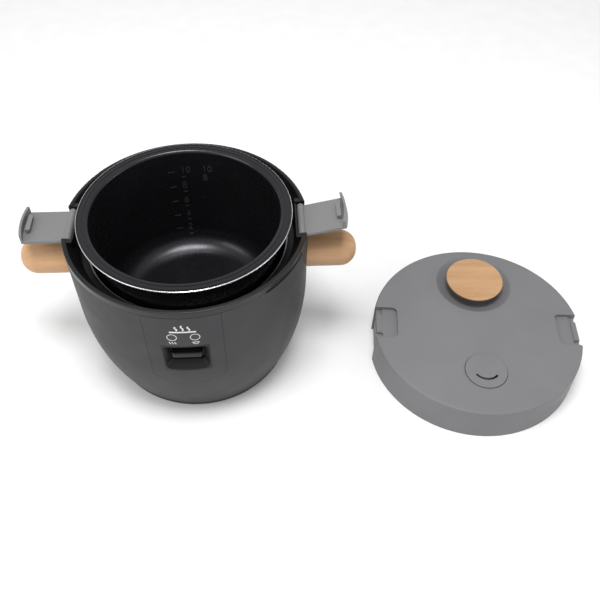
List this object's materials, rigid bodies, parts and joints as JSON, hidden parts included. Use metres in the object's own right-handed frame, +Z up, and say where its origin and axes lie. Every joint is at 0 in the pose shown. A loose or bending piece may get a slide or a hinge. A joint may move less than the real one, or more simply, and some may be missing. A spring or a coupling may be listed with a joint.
{
  "type": "rice cooker",
  "caption": "Round electric rice cooker with lift-out pot, loose lid with round knob and steam vent, folding side latches, round wooden handles and a front cook switch.",
  "frame": {"origin": "on the cooker's vertical axis at the level it stands on, in the middle of its ring foot", "axes": "+Z up, cook switch towards -Y, power inlet towards +Y, handles and latches along X, the loose lid beside the cooker at +X"},
  "size_m": [0.5138, 0.231, 0.1697],
  "materials": {
    "shell_plastic": "fine matt moulded",
    "black_plastic": "satin black",
    "base_plastic": "matt black",
    "white_plastic": "plain",
    "foot_rubber": "matt",
    "liner_aluminium": "satin",
    "cast_aluminium": "turned casting",
    "pot_coating": "black non-stick coating with a bare machined rim",
    "lamp_lens": "smoked lens",
    "circuit_board": "phenolic board",
    "steel": "zinc plated",
    "brass_pins": "plain",
    "magnet_ferrite": "sintered",
    "lead_insulation": "silicone sleeved",
    "silicone": "translucent grey silicone",
    "latch_plastic": "fine matt moulded",
    "lid_plastic": "fine matt moulded",
    "beech": "clear-oiled beech"
  },
  "bodies": {
    "cooker": {"base_cover": "base_plastic", "base_screws": "steel", "chassis_posts": "steel", "collar_ring": "black_plastic", "control_panel": "shell_plastic", "cook_lamp_lens": "lamp_lens", "foot_ring": "foot_rubber", "fuse_clip": "steel", "handle_left": "beech", "handle_right": "beech", "handle_screws": "steel", "heating_element": "steel", "heating_plate": "cast_aluminium", "inlet_housing": "base_plastic", "inlet_pins": "brass_pins", "inner_liner": "liner_aluminium", "internal_leads": "lead_insulation", "lamp_board": "circuit_board", "latch_pin_left": "steel", "latch_pin_right": "steel", "magnet_spring": "steel", "microswitch": "black_plastic", "outer_shell": "shell_plastic", "pivot_bracket": "steel", "plate_posts": "steel", "reflector_plate": "steel", "rocker_pin": "steel", "switch_bezel": "black_plastic", "thermal_fuse": "white_plastic", "thermostat_bracket": "steel", "thermostat_spring": "steel", "warm_lamp_lens": "lamp_lens"},
    "pot": {"inner_pot": "pot_coating"},
    "left_latch": {"latch_left": "latch_plastic"},
    "right_latch": {"latch_right": "latch_plastic"},
    "cook_switch": {"switch_paddle": "black_plastic", "paddle_link": "steel"},
    "rocker": {"rocker_arm": "steel"},
    "magnet_carrier": {"magnet": "magnet_ferrite", "magnet_rod": "brass_pins"},
    "contact_plunger": {"switch_plunger": "white_plastic"},
    "thermostat": {"thermostat_cap": "liner_aluminium", "sensor_ferrite": "magnet_ferrite"},
    "lid": {"lid_shell": "lid_plastic", "lid_inner_plate": "liner_aluminium", "lid_gasket": "silicone", "lid_screws": "steel", "lid_knob": "beech", "knob_stem": "lid_plastic", "knob_screw": "steel", "vent_duct": "silicone"},
    "steam_vent": {"steam_vent_cap": "lid_plastic", "vent_seal": "silicone"}
  },
  "joints": [
    {"name": "pot_lift", "type": "slide", "parent": "cooker", "child": "pot", "axis": [0, 0, 1], "range_m": [0, 0.125]},
    {"name": "left_latch_hinge", "type": "hinge", "parent": "cooker", "child": "left_latch", "pos_m": [-0.0975, 0, 0.154], "axis": [0, 1, 0], "range_deg": [0, 90]},
    {"name": "right_latch_hinge", "type": "hinge", "parent": "cooker", "child": "right_latch", "pos_m": [0.0975, 0, 0.154], "axis": [0, -1, 0], "range_deg": [-13.5, 76.5]},
    {"name": "cook_switch_press", "type": "slide", "parent": "cooker", "child": "cook_switch", "axis": [0, 0, -1], "range_m": [0, 0.005], "stiffness_N_per_m": 150, "springref_m": -0.006},
    {"name": "rocker_pivot", "type": "hinge", "parent": "cooker", "child": "rocker", "pos_m": [0, -0.04, 0.0205], "axis": [1, 0, 0], "range_deg": [0, 7.3]},
    {"name": "magnet_rise", "type": "slide", "parent": "cooker", "child": "magnet_carrier", "axis": [0, 0, 1], "range_m": [0, 0.0051], "deforming": ["magnet_spring"]},
    {"name": "contact_press", "type": "slide", "parent": "cooker", "child": "contact_plunger", "axis": [0, 0, -1], "range_m": [0, 0.0021]},
    {"name": "thermostat_press", "type": "slide", "parent": "cooker", "child": "thermostat", "axis": [0, 0, -1], "range_m": [0, 0.0008], "stiffness_N_per_m": 300, "springref_m": -0.003, "deforming": ["thermostat_spring"]},
    {"name": "lid_lift", "type": "slide", "parent": "cooker", "child": "lid", "axis": [0, 0, 1], "range_m": [0, 0.15]},
    {"name": "steam_vent_pull", "type": "slide", "parent": "lid", "child": "steam_vent", "axis": [0, 0, 1], "range_m": [0, 0.02]}
  ],
  "couplings": [
    {"joint": "rocker_pivot", "follows": "cook_switch_press", "rad_per_m": 25},
    {"joint": "magnet_rise", "follows": "cook_switch_press", "ratio": 1},
    {"joint": "contact_press", "follows": "cook_switch_press", "ratio": 0.4}
  ]
}
